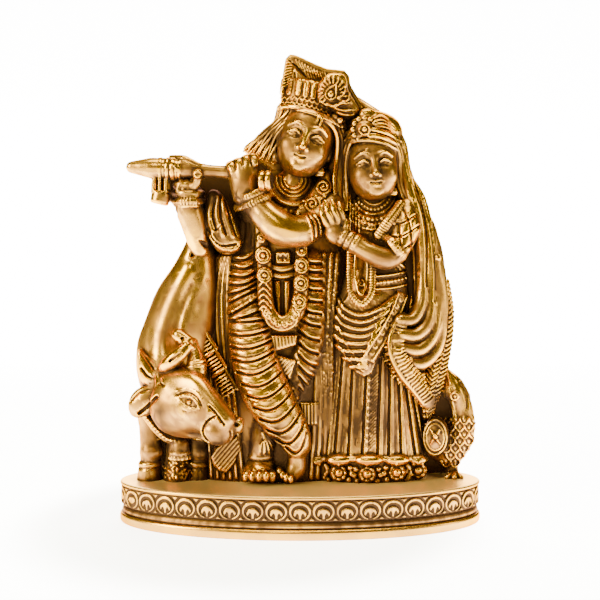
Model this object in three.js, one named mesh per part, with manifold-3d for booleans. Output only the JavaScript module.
// A cast brass table idol: a flute player with crossed legs, a companion in a veil, a cow and a peacock on an
// oval base, all one casting. Millimetres, +Z up, the front faces -Y, and the origin is the middle of the
// base's underside.
import * as THREE from "three";
import { mergeVertices } from "three/addons/utils/BufferGeometryUtils.js";
import Module from "manifold-3d";

const wasm = await Module();
wasm.setup();

// Driving dimensions
const BASE_HALF_WIDTH = 89.5;
const BASE_HALF_DEPTH = 40;
const BASE_HEIGHT = 20;
const IDOL_HEIGHT = 230;
const EYE_DISTANCE = 410; // how far in front of the origin the figures are seen from
const EYE_HEIGHT = 109; // and how high
const SINK = 1.5; // how far the feet run into the base
const FLOOR = BASE_HEIGHT - SINK;
const BASE_SIDES = 32;
const WELD = 1e-4; // corners nearer than this are one

// How deep the folds, pleats and grooves run, as a share of the radius
const CLOAK_PLEAT = 0.02;
const SKIRT_PLEAT = 0.015;
const LEG_FOLD = 0.035;
const HIP_FOLD = 0.025;
const VEIL_FOLD = 0.06;
const GARLAND_BEAD = 0.09;
const FINGER_GROOVE = 0.12;

// The tilt of the two heads, in degrees
const PLAYER_TILT = 20;
const COMPANION_TILT = -5;

const BRASS = new THREE.MeshStandardMaterial({ color: 0xc8963e, roughness: 0.3, metalness: 1 });

// A point that the viewer sees at x across and z up, when it lies at depth y. Widths and heights are read in
// the plane of the origin, and a point in front of it lies nearer the line of sight.
function at(x, y, z) {
  const spread = 1 + y / EYE_DISTANCE;
  return new THREE.Vector3(x * spread, y, EYE_HEIGHT + (z - EYE_HEIGHT) * spread);
}

const points = (list) => list.map(([x, y, z]) => at(x, y, z));

// A closed geometry as a solid
function solid(geometry) {
  const bare = geometry.index ? geometry.toNonIndexed() : geometry.clone();
  bare.deleteAttribute("normal");
  bare.deleteAttribute("uv");
  const merged = mergeVertices(bare, WELD);
  return new wasm.Manifold(
    new wasm.Mesh({
      numProp: 3,
      vertProperties: merged.attributes.position.array,
      triVerts: new Uint32Array(merged.index.array),
    }),
  );
}

const join = (solids) => solids.reduce((whole, piece) => whole.add(piece));

// An egg: half-sizes along its own axes, turned about Y by lean degrees
function ball(place, half, { lean = 0, around = 10, up = 7 } = {}) {
  const egg = new THREE.SphereGeometry(1, around, up);
  egg.rotateX(Math.PI / 2);
  egg.scale(...half);
  egg.rotateY(THREE.MathUtils.degToRad(lean));
  const middle = at(...place);
  return solid(egg.translate(middle.x, middle.y, middle.z));
}

// The value at share t of a list of evenly spaced values
function along(values, t) {
  const place = t * (values.length - 1);
  const low = Math.min(Math.floor(place), values.length - 2);
  return THREE.MathUtils.lerp(values[low], values[low + 1], place - low);
}

// A limb: a round bar along a smooth line through the points, with its radius given at even steps and its
// depth (along Y) as a share of its width. shape(t, angle) swells it, for folds, rings and strands.
function limb(line, radii, { sides = 10, steps = 8, flat = 1, shape = () => 1 } = {}) {
  const curve = new THREE.CatmullRomCurve3(points(line));
  const bar = new THREE.CylinderGeometry(1, 1, 1, sides, steps);
  const position = bar.attributes.position;
  const front = new THREE.Vector3(0, 1, 0);
  for (let i = 0; i < position.count; i++) {
    const t = 0.5 - position.getY(i);
    const reach = Math.hypot(position.getX(i), position.getZ(i));
    const angle = Math.atan2(position.getZ(i), position.getX(i));
    const forward = curve.getTangentAt(t);
    const side = new THREE.Vector3().crossVectors(front, forward).normalize();
    const depth = new THREE.Vector3().crossVectors(forward, side);
    const radius = along(radii, t) * reach * shape(t, angle);
    const place = curve
      .getPointAt(t)
      .addScaledVector(side, radius * Math.cos(angle))
      .addScaledVector(depth, radius * Math.sin(angle) * flat);
    position.setXYZ(i, place.x, place.y, place.z);
  }
  return solid(bar);
}

// A gown: level oval rings, each [x, y, z, half-width, half-depth], with straight sides between them.
// shape(t, angle) swells it, with t from 0 at the last ring to 1 at the first, and angle 0 at +X and 90
// degrees at the front.
function gown(rings, { sides = 48, steps = 6, shape = () => 1 } = {}) {
  const cloth = new THREE.CylinderGeometry(1, 1, 1, sides, steps);
  const position = cloth.attributes.position;
  for (let i = 0; i < position.count; i++) {
    const t = position.getY(i) + 0.5;
    const reach = Math.hypot(position.getX(i), position.getZ(i));
    const angle = Math.atan2(position.getZ(i), position.getX(i));
    const [x, y, z, width, depth] = rings[0].map((_, k) => along(rings.map((r) => r[k]).reverse(), t));
    const middle = at(x, y, z);
    const swell = reach * shape(t, angle);
    const across = middle.x + width * swell * Math.cos(angle);
    const deep = middle.y - depth * swell * Math.sin(angle);
    position.setXYZ(i, across, deep, middle.z);
  }
  return solid(cloth);
}

// Shapes for a gown or a limb: pleats that run down it, and rings that run around it
const pleats = (count, deep) => (t, angle) => 1 + deep * Math.cos(count * angle);
const rings = (count, deep) => (t) => 1 + deep * Math.cos(count * 2 * Math.PI * t);

// A plate cut to a smooth outline seen from the front, from depth front to depth back
function plate(outline, front, back) {
  const spread = 1 + (front + back) / 2 / EYE_DISTANCE;
  const place = (x, z) => new THREE.Vector2(x * spread, EYE_HEIGHT + (z - EYE_HEIGHT) * spread);
  const shape = new THREE.Shape(outline.map(([x, z]) => place(x, z)));
  const board = new THREE.ExtrudeGeometry(shape, { depth: back - front, bevelEnabled: false });
  board.rotateX(Math.PI / 2);
  return solid(board.translate(0, back, 0));
}

// The oval base: a foot band, a hollow moulding, a band for ornament and a thin rim
function base() {
  const profile = [
    [1.2, 0],
    [0, 1.4],
    [0, 4.6],
    [1.6, 6.2],
    [2.8, 8.2],
    [0.8, 9.4],
    [0.6, 17.8],
    [1.6, BASE_HEIGHT],
  ];
  const oval = new THREE.LatheGeometry(
    [
      new THREE.Vector2(0, 0),
      ...profile.map(([inset, z]) => new THREE.Vector2(1 - inset / BASE_HALF_WIDTH, z)),
      new THREE.Vector2(0, BASE_HEIGHT),
    ],
    BASE_SIDES,
  );
  oval.rotateX(Math.PI / 2);
  oval.scale(BASE_HALF_WIDTH, BASE_HALF_DEPTH, 1);
  return solid(oval);
}

// A leg of the cow, with its hoof and fetlock, standing on the base at (x, y)
function cowLeg(x, y, top) {
  const line = [[x, y, top], [x, y, 34], [x - 1, y - 1, 26], [x - 1, y - 1, FLOOR]];
  return limb(line, [7, 4.6, 4.2, 5.4], { sides: 6, steps: 2 });
}

function cow() {
  const trunk = gown(
    [
      [-51, -2, 140, 7, 7],
      [-53, 2, 124, 11.5, 11],
      [-57, 5, 107, 16.5, 15],
      [-59, 6, 90, 19.5, 17],
      [-60, 7, 70, 19.5, 18],
      [-59, 7, 52, 17.5, 17],
      [-58, 7, 40, 11, 11],
    ],
    { sides: 12, steps: 7 },
  );
  const neck = limb([[-66, 4, 86], [-66, -8, 72], [-64, -18, 60]], [14, 15, 13], { sides: 8, steps: 2 });
  const legs = [cowLeg(-75, -1, 60), cowLeg(-50, 0, 50), cowLeg(-66, 17, 52), cowLeg(-47, 17, 52)];
  const head = [
    ball([-58, -24, 59], [15, 13, 15.5], { lean: 35, around: 12, up: 8 }),
    limb([[-58, -24, 66], [-48, -29, 58], [-38, -33, 48]], [12, 10.5, 8], { sides: 8, steps: 2 }),
    ball([-40, -31, 43], [8.2, 7, 6.2], { lean: 20 }),
    ball([-33, -31, 47], [4.6, 5, 4.4], { around: 8, up: 6 }),
  ];
  const leftHorn = [[-69, -17, 75], [-63, -19, 82], [-56, -20, 88], [-58, -19, 92]];
  const rightHorn = [[-53, -22, 77], [-53, -21, 82], [-54, -20, 90]];
  const horns = [
    limb(leftHorn, [2, 4, 3.4, 2.2], { sides: 6, steps: 4 }),
    limb(rightHorn, [4.6, 3.6, 2.4], { sides: 6, steps: 2 }),
  ];
  const ears = [
    ball([-77, -16, 58.5], [9, 4, 6], { lean: -28, around: 8, up: 6 }),
    ball([-75, -12, 76], [3.6, 4, 8], { lean: -30, around: 8, up: 6 }),
  ];
  const bellRings = [[-60, -17, 54, 2.4, 2.4], [-60, -16, 37, 4, 4], [-60, -16, 30, 5, 4.4]];
  const bell = gown(bellRings, { sides: 8, steps: 2 });
  const rock = gown([[-60, 4, 50, 5, 8], [-60, 2, FLOOR, 7, 9]], { sides: 6, steps: 1 });
  return [trunk, neck, rock, ...legs, ...head, ...horns, ...ears, bell];
}

// The pleated cloak that hangs behind the flute player, which backs the figures
function cloak() {
  const fall = gown(
    [
      [-8, 5, 172, 12, 8],
      [-10, 6, 160, 24, 11],
      [-12, 7, 130, 32, 13],
      [-14, 7, 95, 35, 14],
      [-15, 7, 60, 34, 15],
      [-14, 7, FLOOR, 34, 16],
    ],
    { sides: 28, steps: 4, shape: pleats(14, CLOAK_PLEAT) },
  );
  const loose = [[-22, -4, 50], [-28, -6, 36], [-36, -7, 24]];
  const end = limb(loose, [3, 6, 8], { sides: 6, steps: 3, flat: 0.4 });
  const lining = gown([[14, 5, 152, 12, 8], [14, 6, FLOOR, 14, 14]], { sides: 6, steps: 1 });
  return [fall, end, lining];
}

// A foot that widens from the heel to the toes
function foot(heel, toes, heelRadius, toeRadius) {
  return limb([heel, toes], [heelRadius, toeRadius], { sides: 8, steps: 2, flat: 0.6 });
}

function fluteLegs() {
  const crossing = limb(
    [[-24, -3, 112], [-25, -7, 92], [-21, -11, 74], [-12, -13, 57], [-3, -12, 44], [1, -11, 36]],
    [9, 11.5, 12, 11.5, 10, 8, 5],
    { sides: 8, steps: 22, flat: 0.8, shape: rings(11, LEG_FOLD) },
  );
  const shin = limb([[1, -11, 42], [0, -10, 28], [-1, -9, FLOOR]], [4.6, 4, 4.6], { sides: 6, steps: 2 });
  const standing = limb([[2, 0, 122], [5, -2, 98], [3, -3, 80], [0, -2, 66]], [9, 9.5, 9, 8], {
    sides: 8,
    steps: 8,
    shape: rings(4, LEG_FOLD),
  });
  const calf = limb([[-10, -3, 60], [-18, -4, 44], [-20, -5, 26]], [9, 7, 6], { sides: 8, steps: 3 });
  const standingFoot = foot([-19, -2, 23], [-20, -12, 20.5], 4.7, 7.2);
  const crossingFoot = foot([-1, -8, 24], [-6, -12, 20], 3.2, 5);
  return [crossing, shin, standing, calf, standingFoot, crossingFoot];
}

function fluteTorso() {
  const body = gown(
    [
      [-4, 0, 170, 8, 7],
      [-6, 0, 160, 20, 9],
      [-9, 0, 145, 18, 10],
      [-9, 0, 125, 13, 9],
      [-9, 0, 108, 17, 11],
      [-10, 0, 94, 18, 11],
    ],
    { sides: 12, steps: 5 },
  );
  const neck = limb([[-4, -2, 162], [-1, -4, 176]], [6, 5.6], { sides: 8, steps: 1 });
  const belt = [[-9, -10, 100], [-9, -11, 116], [-9, -10, 136]];
  const sash = limb(belt, [4, 5, 5.5], { sides: 6, steps: 3, flat: 0.5 });
  return [body, neck, sash];
}

// The long garland: a loop of round flowers from the shoulders to the thighs
function garland() {
  const loop = [[11, -11, 170], [7, -13, 158], [2, -11, 140], [1, -10, 122], [0, -12, 106], [-8, -14, 97]];
  const back = [[-16, -12, 103], [-19, -9, 120], [-20, -8, 140], [-18, -6, 158]];
  const flowers = rings(10, GARLAND_BEAD);
  return limb([...loop, ...back], [3.6, 3.6], { sides: 5, steps: 20, flat: 0.7, shape: flowers });
}

// A hand from the wrist to the fingertips: a flat bar whose grooves part the four fingers
function hand(line, width) {
  const grooves = (t, angle) => 1 - FINGER_GROOVE * Math.cos(6 * angle) * Math.min(1, 3 * t);
  return limb(line, [width * 0.7, width, width * 0.9], { sides: 12, steps: 3, flat: 0.5, shape: grooves });
}

function fluteArms() {
  const nearUpper = limb([[17, -4, 160], [8, -10, 149], [-3, -15, 142]], [7, 7, 7.6], { sides: 8, steps: 3 });
  const nearLine = [[-2, -16, 142], [-11, -18, 146], [-20, -17, 154], [-26, -15, 164]];
  const nearFore = limb(nearLine, [7.4, 7.4, 6.6, 5.4], { sides: 8, steps: 5 });
  const nearHand = hand([[-25, -15, 161], [-26, -15, 170], [-28, -16, 180]], 8.5);
  const sleeve = [[-28, 0, 160], [-38, -5, 152], [-39, -8, 138]];
  const farUpper = limb(sleeve, [7, 7.5, 7], { sides: 8, steps: 3 });
  const farLine = [[-42, -8, 138], [-51, -10, 143], [-55, -13, 162]];
  const farFore = limb(farLine, [7, 7, 5.4], { sides: 8, steps: 3 });
  const farHand = ball([-57, -14, 166], [6.5, 4.5, 5], { around: 8, up: 6 });
  const thumbLine = [[-53, -15, 162], [-51, -19, 168], [-52, -19, 174]];
  const thumb = limb(thumbLine, [2.6, 2.4, 2], { sides: 5, steps: 1 });
  const fingerLine = [[-63, -13, 180], [-57, -16, 178.5], [-50, -16, 175.5]];
  const over = limb(fingerLine, [1.8, 2.2, 1.4], { sides: 5, steps: 2 });
  return [nearUpper, nearFore, nearHand, farUpper, farFore, farHand, thumb, over];
}

function flute() {
  const line = [[-87, -18, 175.3], [-60, -17, 174], [-36, -15, 172]];
  const tube = limb(line, [3.2, 4.4, 4.3, 3.8, 3], { sides: 8, steps: 4 });
  const mouth = limb([[-36, -15, 172], [-9, -13, 169.5]], [3, 3.6], { sides: 8, steps: 2 });
  const drop = [[-69, -17, 172], [-69, -16, 165], [-69, -15, 157]];
  const tassel = limb(drop, [4, 4.3, 4.8], { sides: 8, steps: 2, flat: 0.7 });
  const web = plate([[-57, 160], [-48, 132], [-30, 132], [-22, 174], [-50, 170]], -8, 2);
  return [tube, mouth, tassel, web];
}

function fluteHead() {
  const skull = [
    ball([3, -5, 189], [13, 12, 15.5], { lean: PLAYER_TILT, around: 12, up: 8 }),
    limb([[3, -13, 193], [2, -18.5, 186]], [1.2, 2.4], { sides: 6, steps: 2 }),
  ];
  const left = [[-8, 0, 206], [-14, -2, 194], [-23, -2, 185], [-29, 0, 178]];
  const right = [[18, 0, 202], [20, -4, 186], [19, -3, 172], [18, 0, 156]];
  const hair = [
    ball([3, 1, 190], [18, 11, 18], { lean: PLAYER_TILT, around: 10, up: 6 }),
    limb(left, [6, 6.5, 6, 4], { sides: 6, steps: 4, flat: 0.7 }),
    limb(right, [4, 4.4, 4.6, 4], { sides: 6, steps: 4 }),
    plate([[-27, 180], [-14, 200], [29, 196], [29, 150], [-26, 150]], -1, 8),
  ];
  const rim = [[7, -2, 217, 15, 11], [8, -3, 209, 18, 13], [8, -4, 202, 17, 13]];
  const crown = [
    gown(rim, { sides: 16, steps: 2, shape: pleats(8, CLOAK_PLEAT) }),
    plate([[-11, 207], [-8.5, 216], [-7.5, 229], [-4, IDOL_HEIGHT], [4, 227.5], [13, 223], [12, 206]], -5, 5),
    plate([[7, 205], [10, 217], [16, 222], [21, 222.5], [24, 220], [26, 213], [29, 206], [20, 202]], -12, 5),
  ];
  return [...skull, ...hair, ...crown];
}

function companionHead() {
  const skull = [
    ball([35.5, -5, 178], [12, 11.5, 15.5], { lean: COMPANION_TILT, around: 12, up: 8 }),
    limb([[33.5, -13, 181], [33, -18, 174]], [1.2, 2.3], { sides: 6, steps: 2 }),
  ];
  const tiara = [
    gown([[36, -2, 199, 9, 9], [36, -3, 193, 14, 12], [36, -3, 186, 13.6, 12.5]], { sides: 14, steps: 2 }),
    ball([32, -15, 195.5], [4.6, 2.5, 4.6], { around: 8, up: 6 }),
  ];
  const neck = limb([[37, -2, 168], [38, -1, 152]], [5.4, 6.5], { sides: 8, steps: 1 });
  return [...skull, ...tiara, neck];
}

function companionVeil() {
  const edge = [[46, 0, 192], [52, -2, 172], [58, -2, 152], [65, 0, 130], [66, 1, 108]];
  const hood = [
    ball([37, 2, 183], [18, 12, 22], { around: 10, up: 6 }),
    limb(edge, [5, 6.5, 7, 7, 6.5], { sides: 8, steps: 6 }),
  ];
  const loop = limb([[66, 1, 108], [65, -6, 96], [57, -10, 90], [48, -10, 88]], [6.5, 7, 7.5, 8], {
    sides: 8,
    steps: 5,
    shape: pleats(4, VEIL_FOLD),
  });
  const back = gown(
    [
      [40, 5, 201, 6, 5],
      [42, 7, 170, 18, 10],
      [46, 8, 140, 21, 11],
      [48, 8, 105, 23, 12],
      [50, 9, 70, 19, 12],
    ],
    { sides: 20, steps: 4, shape: pleats(10, CLOAK_PLEAT) },
  );
  const fringe = plate([[43, 86], [50, 93], [58, 80], [66, 58], [61, 57], [49, 72]], -13, 0);
  return [...hood, loop, back, fringe];
}

function companionBody() {
  const torso = gown(
    [
      [38, 0, 160, 9, 7],
      [39, 0, 153, 17, 9],
      [40, -1, 142, 16, 11],
      [40, -1, 128, 13, 10],
      [38, -1, 116, 16, 11],
    ],
    { sides: 12, steps: 4 },
  );
  const overskirt = gown(
    [
      [38, -1, 122, 15, 11],
      [35, 0, 104, 18, 13],
      [32, 0, 90, 17, 14.5],
      [32, 0, 74, 10, 14],
    ],
    { sides: 16, steps: 6, shape: rings(3, HIP_FOLD) },
  );
  const skirt = gown(
    [
      [36, 1, 104, 18, 11],
      [35, 2, 74, 21, 12.5],
      [34, 3, 50, 26, 14],
      [33.5, 3, 33, 29, 15],
      [33.5, 3, 31, 30.5, 16],
      [33.5, 3, 28, 30.5, 16],
      [33.5, 3, 26, 28.5, 14.5],
      [33.5, 3, FLOOR, 28.5, 14.5],
    ],
    { sides: 32, steps: 6, shape: pleats(16, SKIRT_PLEAT) },
  );
  const fall = [[49, -11, 110], [42, -15, 95], [32, -16, 80]];
  const sash = limb(fall, [4, 4, 4], { sides: 6, steps: 3, flat: 0.5 });
  return [torso, overskirt, skirt, sash];
}

function companionArms() {
  const upper = limb([[53, -2, 152], [51, -7, 142], [46, -12, 133]], [6.5, 6.8, 6.2], { sides: 8, steps: 3 });
  const foreLine = [[45, -13, 131], [36, -16, 132], [26, -16, 137], [19, -15, 142]];
  const fore = limb(foreLine, [6, 5.4, 4.6, 4], { sides: 8, steps: 4 });
  return [upper, fore, hand([[20, -15, 141], [17, -16, 149], [14.5, -16, 158]], 6)];
}

function peacock() {
  const body = ball([73, 9, 38], [11, 8, 10], { lean: 30, around: 8, up: 6 });
  const wing = ball([68, 2, 40], [6, 4, 8], { around: 8, up: 6 });
  const bend = [[76, 8, 34], [81, 7, 44], [80, 6, 54], [77, 5, 62], [73, 4, 74]];
  const neck = limb(bend, [7, 5.6, 5, 5, 1.6], { sides: 8, steps: 6 });
  const legs = limb([[74, 9, 32], [75, 8, FLOOR]], [3.6, 3.6], { sides: 8, steps: 1 });
  const braid = limb([[68, 6, 122], [71, 5, 104], [69, 4, 84], [65, 3, 58]], [4, 6, 6.5, 2.4], {
    sides: 8,
    steps: 6,
    flat: 0.6,
  });
  const web = plate([[60, 95], [72, 80], [73, 66], [77, 48], [72, FLOOR], [58, FLOOR]], 5, 12);
  return [body, wing, neck, legs, braid, web];
}

const idol = join([
  base(),
  ...cow(),
  ...cloak(),
  ...fluteLegs(),
  ...fluteTorso(),
  garland(),
  ...fluteArms(),
  ...flute(),
  ...fluteHead(),
  ...companionHead(),
  ...companionVeil(),
  ...companionBody(),
  ...companionArms(),
  ...peacock(),
]);

// A solid as a geometry
function geometryOf(piece) {
  const { vertProperties, triVerts, numProp } = piece.getMesh();
  const geometry = new THREE.BufferGeometry();
  geometry.setAttribute("position", new THREE.BufferAttribute(vertProperties.slice(), numProp));
  geometry.setIndex(new THREE.BufferAttribute(triVerts.slice(), 1));
  geometry.computeVertexNormals();
  return geometry;
}

const casting = new THREE.Group();
const mesh = new THREE.Mesh(geometryOf(idol), BRASS);
mesh.name = "idol";
casting.add(mesh);

export default casting;
